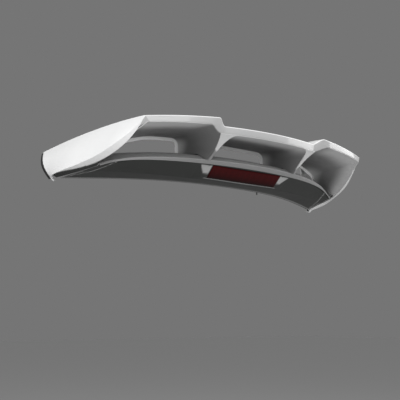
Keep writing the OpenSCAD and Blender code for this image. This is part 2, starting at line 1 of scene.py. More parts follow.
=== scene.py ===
# %% [markdown]
# # A roof spoiler, dressed for its picture
# A raised wing stands on two pillars over three air ducts, with a stop lamp in the base below.
# The rigid frame is loaded first, because every surface made here has to lie on it.

# %% Load the frame
import bpy
import numpy as np
from mathutils import Matrix


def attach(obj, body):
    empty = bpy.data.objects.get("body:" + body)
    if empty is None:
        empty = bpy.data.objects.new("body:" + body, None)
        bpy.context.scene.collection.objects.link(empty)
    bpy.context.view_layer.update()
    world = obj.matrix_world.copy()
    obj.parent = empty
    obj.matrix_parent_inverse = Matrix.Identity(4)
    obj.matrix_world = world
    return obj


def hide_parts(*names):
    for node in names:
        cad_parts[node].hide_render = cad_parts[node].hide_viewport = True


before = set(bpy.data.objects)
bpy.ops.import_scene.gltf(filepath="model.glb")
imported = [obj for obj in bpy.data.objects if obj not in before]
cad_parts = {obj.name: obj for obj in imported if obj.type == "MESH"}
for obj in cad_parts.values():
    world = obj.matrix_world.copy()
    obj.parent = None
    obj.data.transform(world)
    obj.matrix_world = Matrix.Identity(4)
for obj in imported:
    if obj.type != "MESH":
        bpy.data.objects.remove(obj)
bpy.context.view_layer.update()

# %% [markdown]
# The picture was taken from behind, low down and to the left, looking slightly up. A camera is fully
# given by a place, a heading, a pitch and a lens, and all of them were found by fitting one camera to
# pairs of points that mirror each other. The heading and pitch become three axes at right angles,
# and those are the columns of the camera's matrix.

# %% Camera
heading, pitch = np.radians(35.9005), np.radians(9.7461)
look = np.array([np.sin(heading) * np.cos(pitch), np.cos(heading) * np.cos(pitch), np.sin(pitch)])
right = np.array([np.cos(heading), -np.sin(heading), 0.0])
up = np.cross(right, look)
camera_place = np.array([-1.59443, -2.21349, -0.54882])
camera_data = bpy.data.cameras.new("camera")
camera_data.sensor_width = 36.0
camera_data.lens = 63.0
camera = bpy.data.objects.new("camera", camera_data)
columns = np.eye(4)
columns[:3, 0], columns[:3, 1], columns[:3, 2], columns[:3, 3] = right, up, -look, camera_place
camera.matrix_world = Matrix(columns.tolist())
bpy.context.collection.objects.link(camera)
bpy.context.scene.camera = camera
print("camera looks along", look.round(3))

# %% [markdown]
# Every moulding is drawn from a few curves. The same helpers serve them all: a smooth step, a hump,
# a blend of two point arrays, and a stack that makes points out of three coordinates. They work on
# whole arrays, so a surface is one expression and never a loop over its points.

# %% Blending helpers
def ease(t):
    """Smooth step: 3t^2 - 2t^3 with t held between 0 and 1."""
    c = np.clip(t, 0.0, 1.0)
    return c * c * (3.0 - 2.0 * c)


def arch(t):
    """Hump that is 0 at both ends and 1 halfway: 4t(1 - t)."""
    return 4.0 * t * (1.0 - t)


def points(x, y, z):
    """Array of points whose last axis holds the three coordinates."""
    return np.stack(np.broadcast_arrays(x, y, z), -1).astype(float)


def mix(a, b, t):
    """Blend of two point arrays: a(1 - t) + bt, where t has no coordinate axis."""
    t = np.asarray(t, float)[..., None]
    return a * (1.0 - t) + b * t


def unit(v):
    """Vectors divided by their own length."""
    return v / np.maximum(np.linalg.norm(v, axis=-1, keepdims=True), 1e-9)


print("ease(0.5) =", ease(0.5), " arch(0.5) =", arch(0.5))

# %% [markdown]
# The rear edge of the wing has a low middle section and two raised outer sections, joined by a soft
# step. Both sections are simple curves of x, and the step blends one into the other. Millimetres are
# used here, as on a drawing, with x to the right, y towards the front and z up.

# %% Rear edge of the wing
HALF_SPAN, STEP_IN, STEP_OUT = 495.0, 202.0, 243.0
MIDDLE_Y, MIDDLE_SWEEP, MIDDLE_Z = -142.0, 23.0, 187.0
OUTER_Y, OUTER_SWEEP, OUTER_Z, OUTER_FALL = -146.0, 65.0, 219.0, 35.0
BAND_STEP_IN, BAND_STEP_OUT = 214.0, 278.0
BAND_FORWARD, BAND_HEIGHT = 5.0, 23.0
CORNER_INWARDS, CORNER_BACK, CORNER_UP = 11.0, 10.0, 4.0


def rear_curves(x):
    """The low curve of the middle and the high curve outside, which the rear edge blends."""
    a = np.abs(x)
    middle = points(x, MIDDLE_Y + MIDDLE_SWEEP * (x / STEP_IN) ** 2, MIDDLE_Z)
    outer_y = OUTER_Y + OUTER_SWEEP * (a / HALF_SPAN) ** 3
    return middle, points(x, outer_y, OUTER_Z - OUTER_FALL * (a / HALF_SPAN) ** 1.5)


def wing_edge(x):
    """Rear edge at x: a parabola in the middle, a cubic sweep outside, blended over the step."""
    a = np.abs(x)
    return mix(*rear_curves(x), ease((a - STEP_IN) / (STEP_OUT - STEP_IN)))


def band_edge(x):
    """Lower edge of the rear band: its step is further out, and it narrows towards the corners."""
    a = np.abs(x)
    share = ease((a - STEP_IN) / (HALF_SPAN - STEP_IN))
    below = points(-CORNER_INWARDS * share * np.sign(x), BAND_FORWARD - CORNER_BACK * share,
                   CORNER_UP * share - BAND_HEIGHT)
    return mix(*rear_curves(x), ease((a - BAND_STEP_IN) / (BAND_STEP_OUT - BAND_STEP_IN))) + below


print("rear edge at the centre and the corner:", wing_edge(np.array([0.0, HALF_SPAN])))

# %% [markdown]
# The top face runs forward from that edge to the nose. Towards the corner the nose swings out and
# down, so that the top turns into the side fin without a seam. The fin's rear edge is one cubic
# Bezier curve from the wing corner to the lower tip.

# %% Top face and fin
CORNER_START = 0.72
NOSE_SPREAD, NOSE_Y, NOSE_Z, NOSE_FALL = 1.05, 165.0, 224.0, 26.0
CROWN, CORNER_CROWN, CORNER_PULL = 6.0, 10.0, 8.0
FIN_TOP, FIN_TIP = np.array([620.0, 405.0, 142.0]), np.array([621.0, 322.0, 30.0])
TAIL_ENTRY = 0.06
TAIL_HANDLE, TIP_HANDLE = np.array([30.0, 127.0, -183.0]), np.array([27.0, 15.0, 38.0])
CREASE_CORNER, CREASE_OUT, CREASE_DIP = 0.7, np.array([24.8, 12.5, 5.7]), 6.0
CREASE_TURN, CREASE_FADE, DIP_START = 0.22, 0.5, 0.4
FIN_BULGE = 16.0
INNER_CORNER, INNER_TIP = np.array([-2.0, 1.0, 0.5]), np.array([-3.0, 2.0, 8.8])


def corner_ease(x):
    """How far a line across the wing belongs to the corner, from 0 to 1."""
    return ease((x / HALF_SPAN - CORNER_START) / (1 - CORNER_START))


def top_line(x, v):
    """Top face at x, with v from 0 at the rear edge to 1 at the nose, crowned by a hump in v."""
    share = corner_ease(x)
    nose = mix(points(NOSE_SPREAD * x, NOSE_Y, NOSE_Z - NOSE_FALL * (x / HALF_SPAN) ** 2), FIN_TOP, share)
    lift = points(-CORNER_PULL * share * arch(v), 0, (CROWN + CORNER_CROWN * share) * arch(v))
    return mix(wing_edge(x), nose, v) + lift


def fin_tail(q):
    """Rear edge of the fin: a cubic Bezier curve, entered a little below the wing corner."""
    t = (TAIL_ENTRY + (1 - TAIL_ENTRY) * np.asarray(q, float))[..., None]
    a = wing_edge(HALF_SPAN)
    b, c = a + TAIL_HANDLE, FIN_TIP + TIP_HANDLE
    return a * (1 - t) ** 3 + 3 * b * t * (1 - t) ** 2 + 3 * c * t ** 2 * (1 - t) + FIN_TIP * t ** 3


def fin_crease(q):
    """Crease ahead of the tail: the band of the wing turns the corner and runs on between the two."""
    q = np.asarray(q, float)
    corner = CREASE_CORNER * (wing_edge(HALF_SPAN) - fin_tail(0.0))
    out = CREASE_OUT * ease((1 - q) / CREASE_FADE)[..., None]
    out[..., 2] -= CREASE_DIP * arch(np.clip((q - DIP_START) / (1 - DIP_START), 0, 1))
    return fin_tail(q) + mix(corner, out, ease(q / CREASE_TURN))


def fin_side(s, q):
    """Side face of the fin, from the top face at s = 0 to its crease at s = 1, bulged by a sine."""
    bulge = points(FIN_BULGE * np.sin(np.pi * s) * q ** 1.5, 0, 0)
    return mix(top_line(HALF_SPAN, q), fin_crease(q), s) + bulge


def fin_inner(q):
    """Inner line of the fin's painted frame, which turns from across the tail to up the inner side."""
    q = np.asarray(q, float)
    return fin_tail(q) + mix(INNER_CORNER, INNER_TIP, ease(1.4 * q - 0.4))


print("fin tail from", fin_tail(0.0).round(1), "to", fin_tail(1.0).round(1))

# %% [markdown]
# A moulded edge is never sharp. Each surface is therefore given as a few control lines, and one
# function rounds the fold at every inner line with a small Bezier arc. That is cheaper and steadier
# than a bevel on a long thin grid, and the highlight along each edge comes from it.

# %% Rounded folds
def fold(control, radius, arc=6, between=1):
    """Polylines control[column, line] with each inner corner replaced by a quadratic Bezier arc.

    The arc starts and ends at the radius, or at 45% of the shorter side next to the corner.
    A radius of 0 leaves a line as it is. Each stretch is cut into `between` pieces.
    """
    lines = control.shape[1]
    radius = np.broadcast_to(np.asarray(radius, float), (lines,))
    out, last = [control[:, 0]], control[:, 0]
    for k in range(1, lines - 1):
        a, c, b = control[:, k - 1], control[:, k], control[:, k + 1]
        if radius[k] == 0:
            out += [mix(last, c, j / between) for j in range(1, between + 1)]
            last = c
            continue
        back = np.linalg.norm(a - c, axis=-1)
        ahead = np.linalg.norm(b - c, axis=-1)
        r = np.minimum(radius[k], 0.45 * np.minimum(back, ahead))[:, None]
        start, end = c + unit(a - c) * r, c + unit(b - c) * r
        out += [mix(last, start, j / between) for j in range(1, between)]
        out += [(1 - t) ** 2 * start + 2 * t * (1 - t) * c + t * t * end
                for t in np.linspace(0, 1, arc)]
        last = end
    out += [mix(last, control[:, -1], j / between) for j in range(1, between + 1)]
    return np.stack(out, 1)


square = fold(np.array([[[0, 0, 0], [10, 0, 0], [10, 10, 0.0]]]), 3)
print("a right angle became", square.shape[1], "points")

# %% [markdown]
# A sheet becomes a moulding in three steps: the grid of points is put in the mesh, Solidify gives it
# the wall on the side away from its normals, and a fine Bevel rounds the rims. The grid's winding
# decides which way the normals point, so a mirrored sheet is wound the other way. The frame's origin
# lies at ORIGIN on the drawing, so every point is shifted by it and turned into metres.

# %% Sheet to moulding
ORIGIN = np.array([0.0, 320.0, 100.0])
WALL, THIN_WALL, END_WALL = 3.0, 2.5, 2.0


def moulding(name, grid, wall, nodes, turned=False, even=True, rim=0.6, tint=None):
    """Mesh object from grid[column, row] in millimetres, walled by Solidify and edged by Bevel.

    An `even` wall keeps its thickness round folds, and `tint` is a number for each point that the
    finish may read.
    """
    columns, rows = grid.shape[:2]
    place = (grid.reshape(-1, 3) - ORIGIN) / 1000.0
    index = np.arange(columns * rows).reshape(columns, rows)
    quads = np.stack([index[:-1, :-1], index[1:, :-1], index[1:, 1:], index[:-1, 1:]], -1)
    quads = quads.reshape(-1, 4)
    if turned:
        quads = quads[:, ::-1]
    mesh = bpy.data.meshes.new(name)
    mesh.from_pydata(place.tolist(), [], quads.tolist())
    mesh.polygons.foreach_set("use_smooth", np.ones(len(quads), bool))
    shade = np.zeros(columns * rows) if tint is None else tint.reshape(-1)
    mesh.attributes.new("tint", "FLOAT", "POINT").data.foreach_set("value", shade)
    mesh.update()
    piece = bpy.data.objects.new(name, mesh)
    bpy.context.collection.objects.link(piece)
    shell = piece.modifiers.new("wall", "SOLIDIFY")
    shell.thickness = wall / 1000.0
    shell.offset = -1.0
    shell.use_even_offset = even
    if rim:
        bevel = piece.modifiers.new("rim", "BEVEL")
        bevel.width = rim / 1000.0
        bevel.segments = 2
        bevel.limit_method = "ANGLE"
        bevel.angle_limit = np.radians(50)
        bevel.harden_normals = True
    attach(piece, "root")
    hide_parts(*nodes)
    print(name, "has", len(quads), "faces before its wall")
    return piece


def mirrored(grid):
    """The same grid on the other side of the centre plane: x changes its sign."""
    return grid * np.array([-1.0, 1.0, 1.0])


def both_sides(half):
    """A half grid whose first column lies on the centre plane, joined to its mirror image."""
    return np.concatenate([mirrored(half[:0:-1]), half])


# %% [markdown]
# The wing skin is the white moulding that gives the spoiler its outline. Its columns run outwards
# along the rear edge and then down the fin, and its rows run from the lower edge of the band, over
# the rounded rear edge and along the top to the rolled nose. The folds at the rear edge and at the
# fin's tail are rounded, because the bright line along them is what the eye reads first. Its tint is
# painted shade on the band's face, which leaves the edge above it brighter.

# %% Wing skin
NOSE_ROLL, NOSE_END = np.array([0.0, 11.0, -9.0]), np.array([0.0, -8.0, -17.0])
SIDE_ROLL, SIDE_END = np.array([-3.0, 3.0, -3.0]), np.array([-9.0, 1.0, -5.0])
TIP_ROLL, TIP_END = np.array([-5.0, 3.0, -1.0]), np.array([-9.0, 2.0, -2.0])
EDGE_RADIUS, NOSE_RADIUS, TAIL_RADIUS = 4.0, 6.0, 3.5
# Painted shade on the first rows of the band's face, read by the white paint's tint.
BAND_PAINTED_SHADE = [0.68, 0.62, 0.1]


def wing_columns():
    """Places of the columns: x along the wing, closer together at the step, then s down the fin."""
    x = np.concatenate([np.linspace(0, STEP_IN, 22)[:-1], np.linspace(STEP_IN, STEP_OUT, 18)[:-1],
                        np.linspace(STEP_OUT, HALF_SPAN, 44)])
    return x, np.linspace(0, 1, 26)[1:]


def wing_half():
    """Half of the wing: control lines band, edge, top rows and nose, for wing, fin and frame."""
    x, s = wing_columns()
    v = np.concatenate([[0, 0.03], np.linspace(0.07, 1, 34)])
    wide, rows = np.meshgrid(x, v, indexing="ij")
    deep, down = np.meshgrid(s, v, indexing="ij")
    wing, fin = top_line(wide, rows), fin_side(deep, down)
    nose, end, share = wing[:, -1], fin[:, -1], corner_ease(x)
    roll = mix(nose + NOSE_ROLL, nose + SIDE_ROLL, share)
    roll_end = mix(nose + NOSE_END, nose + SIDE_END, share)
    wing = np.concatenate([band_edge(x)[:, None], wing, roll[:, None], roll_end[:, None]], 1)
    corner, first = band_edge(HALF_SPAN), fin_inner(0.0)
    top = mix(corner, first, 0.7 * s)
    fin = np.concatenate([top[:, None], fin, (end + SIDE_ROLL)[:, None], (end + SIDE_END)[:, None]], 1)
    tip = fin_side(1.0, 1.0)
    inner = np.concatenate([mix(corner, first, [0.85]), fin_inner(v), [tip + TIP_ROLL, tip + TIP_END]])
    return wing, fin, inner[None]


wing, fin, inner = wing_half()
radii = np.zeros(wing.shape[1])
radii[1], radii[-3:-1] = EDGE_RADIUS, NOSE_RADIUS
skin = fold(np.concatenate([wing, fin, inner]), radii, arc=5)
tail = fold(skin[-3:].transpose(1, 0, 2), TAIL_RADIUS, arc=5).transpose(1, 0, 2)
skin = both_sides(np.concatenate([skin[:-3], tail]))
# The band's face gets painted shade.
wing_band_shade = np.zeros(skin.shape[:2])
wing_band_shade[:, :len(BAND_PAINTED_SHADE)] = BAND_PAINTED_SHADE
wing_skin = moulding("wing_skin_dressed", skin, WALL, ("wing_skin",), tint=wing_band_shade)

# %% [markdown]
# The base moulding is a long bowed wedge. Its upper half has a bright lip at the rear, a slope up to
# a soft crest and a top that runs forward under the ducts. Its lower half sags to a belly and ends
# in a rim. Each of these lines is a short polynomial of x, so they run side by side without waves,
# and where two mouldings meet they use the same line.

# %% Lines of the base
LIP_X = 540.0
LIP_Y, LIP_SWEEP, LIP_Z, LIP_FALL = -35.0, 168.0, 93.0, 30.0
LIP_TUCK, TUCK_FADE, LIP_BAND = 30.0, 36.0, 8.0
CREST_FORWARD, CREST_RISE, CREST_FADE = 45.0, 27.0, 0.6
FRONT_SPREAD, FRONT_Y, FRONT_Z, FRONT_FALL = LIP_X / 9.3, 405.0, 200.0, 62.0
RIM_Y, RIM_SWEEP, RIM_Z, RIM_FALL, RIM_RISE = 150.0, 171.0, 45.0, 15.0, 6.8
BELLY_Y, BELLY_Z, BELLY_FADE, BELLY_RISE = 62.0, 40.0, 0.7, 7.0
BELLY_SHARE = (BELLY_Y - LIP_Y - LIP_TUCK) / (RIM_Y - LIP_Y - LIP_TUCK)
POCKET_FROM, POCKET_TO, END_FROM = 150.0, 213.0, 498.0


def end_share(x):
    """Seventh power of the share of the half width, which keeps the fall close to the ends."""
    return (np.abs(x) / LIP_X) ** 7


def lip_top(x):
    """Rear lip: a parabola in plan that drops at its ends."""
    return points(x, LIP_Y + LIP_SWEEP * (x / LIP_X) ** 2, LIP_Z - LIP_FALL * end_share(x))


def lip_low(x):
    """Lower edge of the band under the lip."""
    return lip_top(x) + points(0, LIP_TUCK - TUCK_FADE * (x / LIP_X) ** 2, end_share(x) - LIP_BAND)


def crest(x):
    """Soft crest above and ahead of the lip, lower towards the ends by a sixth power."""
    return lip_top(x) + points(0, CREST_FORWARD, CREST_RISE * (1 - CREST_FADE * (np.abs(x) / LIP_X) ** 6))


def base_front(x):
    """Front edge of the base: a parabola in height that spreads with the cube of x."""
    return points(x + FRONT_SPREAD * (x / LIP_X) ** 3, FRONT_Y, FRONT_Z - FRONT_FALL * (x / LIP_X) ** 2)


def rim(x):
    """Rim of the lower half: its fall is a fourth power, and an eighth lifts its ends."""
    a = np.abs(x) / LIP_X
    return points(x + 1.1 * FRONT_SPREAD * (x / LIP_X) ** 3, RIM_Y + RIM_SWEEP * a ** 2.3,
                  RIM_Z - RIM_FALL * a ** 4 + RIM_RISE * a ** 8)


def belly(x):
    """Belly line of the lower face, between the lip and the rim, lifted a little at the ends."""
    sag = BELLY_Z - ((LIP_Z - LIP_BAND) * (1 - BELLY_SHARE) + RIM_Z * BELLY_SHARE)
    drop = sag * (1 - BELLY_FADE * (np.abs(x) / LIP_X) ** 2) + BELLY_RISE * end_share(x)
    return mix(lip_low(x), rim(x), BELLY_SHARE) + points(0, 0, drop)


def along_span():
    """x of the columns from end to end, closer together at the lamp pocket's cheeks and the ends."""
    x = np.concatenate([np.linspace(0, POCKET_FROM, 34)[:-1], np.arange(POCKET_FROM, POCKET_TO),
                        np.linspace(POCKET_TO, END_FROM, 64)[:-1], np.linspace(END_FROM, LIP_X, 29)])
    return np.concatenate([-x[:0:-1], x])


span = along_span()
print("columns across the base:", len(span))

# %% [markdown]
# The upper half of the base is one sheet from end to end. Its control lines are the lower edge of the
# band, the lip, the crest, a line halfway to the front, the front edge and the end of a short flange
# below it. The crest gets a wide radius, because it is a soft swell and not an edge.

# %% Upper half of the base
LIP_RADIUS, CREST_RADIUS, FRONT_RADIUS, FLANGE = 3.5, 24.0, 5.0, 12.0
front, ridge = base_front(span), crest(span)
shell = np.stack([lip_low(span), lip_top(span), ridge, mix(ridge, front, 0.5), front,
                  front - [0, 0, FLANGE]], 1)
shell = fold(shell, [0, LIP_RADIUS, CREST_RADIUS, 0, FRONT_RADIUS, 0], arc=7, between=3)
base_shell = moulding("base_shell_dressed", shell, WALL, ("base_shell",))

# %% [markdown]
# The lower half faces down. A pocket with slanted cheeks is let into it for the stop lamp, so
# between the cheeks the control lines are pushed up to the lamp's seat, and a clipped ramp in x
# carries them there and back. It starts behind the lip's band, a lap and a small gap away from it.

# %% Lower half of the base
SLOPE = np.radians(43.0)
DOWN_LENS = np.array([0.0, np.cos(SLOPE), -np.sin(SLOPE)])
OFF_LENS = np.array([0.0, -np.sin(SLOPE), -np.cos(SLOPE)])
LENS_TOP, SEAT_DEPTH = np.array([0.0, 10.0, 82.0]), 3.5
POCKET_EDGE, CHEEK_WIDTH, HEAD_SHARE, FOOT_SHARE = 206.0, 49.0, 0.24, 0.88
SEAT_HEAD, SEAT_FOOT = -4.0, 59.0
LAP, LAP_AT_END, LAP_GAP = 3.0, 6.0, 0.5
UNDER_RADII = [0, 4, 3, 0, 0, 3, 8, 0, 2.5, 3, 0, 0]


def seat_line(x, along):
    """Line across the lamp's seat, `along` millimetres down its slope and set behind the lens face."""
    return points(x, 0, 0) + LENS_TOP + DOWN_LENS * along - OFF_LENS * SEAT_DEPTH


def lower_line(x, share):
    """Line of the lower face between the lip and the belly."""
    return mix(lip_low(x), belly(x), share)


cheek = np.clip((POCKET_EDGE - np.abs(span)) / CHEEK_WIDTH, 0, 1)
slide = lip_low(span) - lip_top(span)
lap = LAP_GAP + (LAP + LAP_AT_END * end_share(span)) * -slide[:, 2] / np.linalg.norm(slide, axis=1)
rim_line, pan = rim(span), front + [0, -3.5, -9.0]
behind_rim = rim_line + [0, 9, 16.0]
pocket_head = mix(lower_line(span, HEAD_SHARE), seat_line(span, SEAT_HEAD), cheek)
pocket_foot = mix(lower_line(span, FOOT_SHARE), seat_line(span, SEAT_FOOT), cheek)
under = np.stack([lip_low(span) + points(0, lap, 0), lower_line(span, 0.05), pocket_head,
                  mix(pocket_head, pocket_foot, 0.33), mix(pocket_head, pocket_foot, 0.67),
                  pocket_foot, belly(span), mix(belly(span), rim_line, 0.86), rim_line, behind_rim,
                  mix(behind_rim, pan, 0.5), pan], 1)
under = fold(under, UNDER_RADII, arc=6, between=3)
print("the lower half has", under.shape[1], "rows")

# %% [markdown]
# Some edges of the lower half catch more light than the face: the rim, the cheeks of the lamp
# pocket, the pocket's lower edge and two folds at each end. That light is painted on them as a paler
# tint, a painted highlight worked out from the distance to each line or from x.

# %% Painted highlights of the lower half
CHEEK_FROM, CHEEK_SLANT, POCKET_HEIGHT = 158.0, 45.0, 40.0
CHEEK_HEAD, CHEEK_FOOT = -0.04, 0.62
FOLD_X, FOLD_RUN, FOLD_WIDTH = (489.0, 530.0), (49.0, 8.0), (2.6, 2.2)
RIM_REACH, FOOT_REACH, FOOT_TINT_X = 13.0, 2.5, 172.0


def line_tint(grid, line, reach):
    """Tint that is 1 on a line and fades to 0 at the reach, by the distance in each column."""
    gap = np.linalg.norm(grid - line[:, None], axis=-1)
    return np.clip((reach - gap) / (0.35 * reach), 0, 1)


def cheek_highlight(grid, x):
    """Painted highlight on the slanted cheeks beside the lens, on the upper part of the pocket."""
    drop = (LENS_TOP[2] - grid[..., 2]) / POCKET_HEIGHT
    a = np.abs(x)[:, None]
    across = ease((a - CHEEK_FROM) / 3) * ease((POCKET_EDGE - CHEEK_SLANT * drop - a) / 4)
    return across * ease((drop - CHEEK_HEAD) / 0.08) * ease((CHEEK_FOOT - drop) / 0.06)


def end_fold_highlight(grid, x):
    """Painted highlight on two folds at each end, which run from the lip and from the side to the rim's
    corner.
    """
    low, high = grid[:, :1, 1], rim_line[:, 1][:, None]
    share = np.clip((grid[..., 1] - low) / (high - low), 0, 1.2)
    a = np.abs(x)[:, None]
    first, second = (ease((width - np.abs(a - start - run * share)) / 1.2)
                     for start, run, width in zip(FOLD_X, FOLD_RUN, FOLD_WIDTH))
    return np.maximum(first, second * ease((share - 0.35) / 0.1))


# Painted highlights on the rim, the pocket's cheeks and the folds at each end.
under_highlight = np.maximum(0.4 * line_tint(under, rim_line, RIM_REACH), 0.6 * cheek_highlight(under, span))
under_highlight = np.maximum(under_highlight, 0.5 * end_fold_highlight(under, span))
# Painted highlight along the pocket's lower edge beside the lens.
beside_lens = ease((FOOT_TINT_X - np.abs(span)) / 8)[:, None]
under_highlight += 0.3 * line_tint(under, pocket_foot, FOOT_REACH) * beside_lens
base_underside = moulding("base_underside_dressed", under, WALL, ("base_underside",),
                          turned=True, even=False, tint=under_highlight)

# %% [markdown]
# Each pillar stands on the rear slope of the base and on the top behind its crest, and it flares
# under the band. Its rear face and the ducts beside it share these lines, so they meet without
# being measured twice.

# %% Lines of the pillars
FOOT_IN, FOOT_OUT, TOP_IN, TOP_OUT, INLET_Y = 193.0, 204.0, 177.0, 219.0, 135.0
ROOF_IN = TOP_IN - 26.0
FOOT_BACK, FOOT_LIFT, LEG = 4.0, 1.4, 0.66
OUTER_BEND, HOLLOW = np.array([-6.0, 2.0, 0.0]), np.array([0.0, 14.0, -6.0])


def foot_height(x, y):
    """Height of a foot at (x, y): on the slope from lip to crest, then on the top of the base."""
    low, top, end = lip_top(x), crest(x), base_front(x)
    slope = low[..., 2] + (top - low)[..., 2] * (y - low[..., 1]) / (top - low)[..., 1]
    roof = top[..., 2] + (end - top)[..., 2] * (y - top[..., 1]) / (end - top)[..., 1]
    return np.where(y < top[..., 1], slope, roof) + FOOT_LIFT


def foot_point(x, s):
    """Point of a foot line at x, with s from the rear foot to the inlet."""
    rear = lip_top(x)[..., 1] - FOOT_BACK
    y = rear + (INLET_Y - rear) * s
    return points(x, y, foot_height(x, y))


def pillar_line(foot_x, top_x, t, hollow=0.0):
    """Line up a pillar from its foot at t = 0 to the band at t = 1, flaring with t squared."""
    t = np.asarray(t, float)
    foot, top = foot_point(foot_x, 0.0), band_edge(top_x)
    return mix(foot, top, t) + points((top_x - foot_x) * (t * t - t), 0, 0) \
        + HOLLOW * (hollow * arch(t))[..., None]


def outer_edge(t):
    """Outer edge of a pillar, bent towards the centre."""
    return pillar_line(FOOT_OUT, TOP_OUT, t) + OUTER_BEND * arch(np.asarray(t, float))[..., None]


def bend(a, c, b, t):
    """Quadratic Bezier curve from a to b with its handle at c."""
    t = np.asarray(t, float)[..., None]
    return a * (1 - t) ** 2 + 2 * c * t * (1 - t) + b * t * t


def inner_leg(t):
    """Inner edge of a pillar, hollowed forward."""
    return pillar_line(FOOT_IN, TOP_IN, t, 1.0)


def inner_turn(t):
    """Turn from the top of the inner leg into the band above the centre duct."""
    return bend(inner_leg(LEG), band_edge(TOP_IN), band_edge(ROOF_IN), t)


print("pillar foot:", foot_point(np.array([FOOT_IN, FOOT_OUT]), 0.0).round(1))

# %% [markdown]
# A duct is a tunnel that is open below. One outline runs round its outlet at the rear, another round
# its inlet at the front, and the wall is ruled between the two. At the inlet the wall turns square
# into a narrow frame, whose rounded fold catches the light.

# %% Outlines of the ducts
INLET_CORNER, INLET_Z, INLET_FALL, INLET_FALL_X = 36.0, 202.0, 22.0, 410.0
CENTRE_INLET_X, OUTER_INLET_X, SHOULDER_X = 179.0, 223.0, 486.0
SHOULDER_Y, SHOULDER_Z, INLET_END = 165.0, 158.0, np.array([548.0, 240.0, 118.0])
STEP_PART, TURN_PARTS, ROOF_PARTS = 0.45, 3, 10
SIDE_INSET, SIDE_LENGTH = np.array([2.0, 1.0, 1.5]), 0.44
SMOOTHINGS = 24


def inlet_roof(x):
    """Roof line of the inlets, falling outwards with the cube of x."""
    return points(x, INLET_Y, INLET_Z - INLET_FALL * (np.abs(x) / INLET_FALL_X) ** 3)


def inlet_side(x, side, rise, turn):
    """Side of an inlet: straight up, then a rounded corner towards its roof."""
    foot = points(x, INLET_Y, foot_height(x, INLET_Y))
    shoulder = inlet_roof(x) - [0, 0, INLET_CORNER]
    return np.concatenate([mix(foot, shoulder, rise),
                           bend(shoulder, inlet_roof(x), inlet_roof(x + INLET_CORNER * side), turn)])


def centre_outlines(rise, turn, roof):
    """Rear and front outlines of half the centre duct, from the foot to the centre plane."""
    rear = np.concatenate([inner_leg(LEG * rise), inner_turn(turn), band_edge(ROOF_IN * (1 - roof))])
    ahead = np.concatenate([inlet_side(CENTRE_INLET_X, -1, rise, turn),
                            inlet_roof((CENTRE_INLET_X - INLET_CORNER) * (1 - roof))])
    return rear, ahead


def roof_x(t):
    """x along an outer duct's roof, which spends its first part on the step."""
    return np.where(t < STEP_PART, TOP_OUT + (BAND_STEP_OUT - TOP_OUT) * t / STEP_PART,
                    BAND_STEP_OUT + (HALF_SPAN - BAND_STEP_OUT) * (t - STEP_PART) / (1 - STEP_PART))


def outer_outlines(rise, turn, roof, side):
    """Rear and front outlines of an outer duct: up the pillar, along the roof and down the fin.

    The front outline is smoothed by averaging each point with its neighbours a few times.
    """
    t = np.concatenate([turn * TURN_PARTS, TURN_PARTS + ROOF_PARTS * roof]) / (TURN_PARTS + ROOF_PARTS)
    over = band_edge(roof_x(t))
    over[-1] = over[-1] + SIDE_INSET
    down = fin_inner(SIDE_LENGTH * side) + SIDE_INSET * (1 - side)[:, None]
    rear = np.concatenate([outer_edge(rise), over, down])
    start = OUTER_INLET_X + INLET_CORNER
    x = start + (SHOULDER_X - start) * roof ** 1.15
    lid = mix(inlet_roof(x), points(x, SHOULDER_Y, SHOULDER_Z), ease((roof - 0.55) / 0.45))
    wall = mix(np.array([SHOULDER_X, SHOULDER_Y, SHOULDER_Z]), INLET_END, side)
    ahead = np.concatenate([lid, wall])
    for _ in range(SMOOTHINGS):
        ahead[1:-1] = ahead[1:-1] / 2 + (ahead[:-2] + ahead[2:]) / 4
    return rear, np.concatenate([inlet_side(OUTER_INLET_X, 1, rise, turn), ahead])


rise, turn, roof, side = (np.linspace(0, 1, 16), np.linspace(0, 1, 11)[1:],
                          np.linspace(0, 1, 31)[1:], np.linspace(0, 1, 15)[1:])
centre = centre_outlines(rise, turn, roof)
outer = outer_outlines(rise, turn, roof, side)
print("centre outline has", len(centre[0]), "points, an outer one", len(outer[0]))

# %% [markdown]
# The ruled wall needs two more things. Near its feet it is lifted on to the base, which it would cut
# otherwise, and at the inlet its frame is added as one more control line. The frame and the wall are
# painted paler where light comes in: the frame, the wall beside it, and under the wing towards the
# outlet. That painted light is part of the tint, because so narrow a tunnel would come out too dark without
# it.

# %% Wall of a duct
FRAME_WIDTH, FRAME_RADIUS, FRAME_REACH = 15.0, 7.0, 14.0
REAR_GAP, REAR_START = 0.3, 0.6


def facing(outline):
    """Unit vectors across an outline, seen from behind: its tangent turned by a right angle."""
    run = np.gradient(outline, axis=0)
    return unit(points(run[:, 2], 0, -run[:, 0]))


def near_foot(count, rise_count):
    """Weight that is 1 at the foot and fades to 0 by the top of the rise, squared."""
    return np.clip(1 - np.arange(count) / (rise_count - 1), 0, 1) ** 2


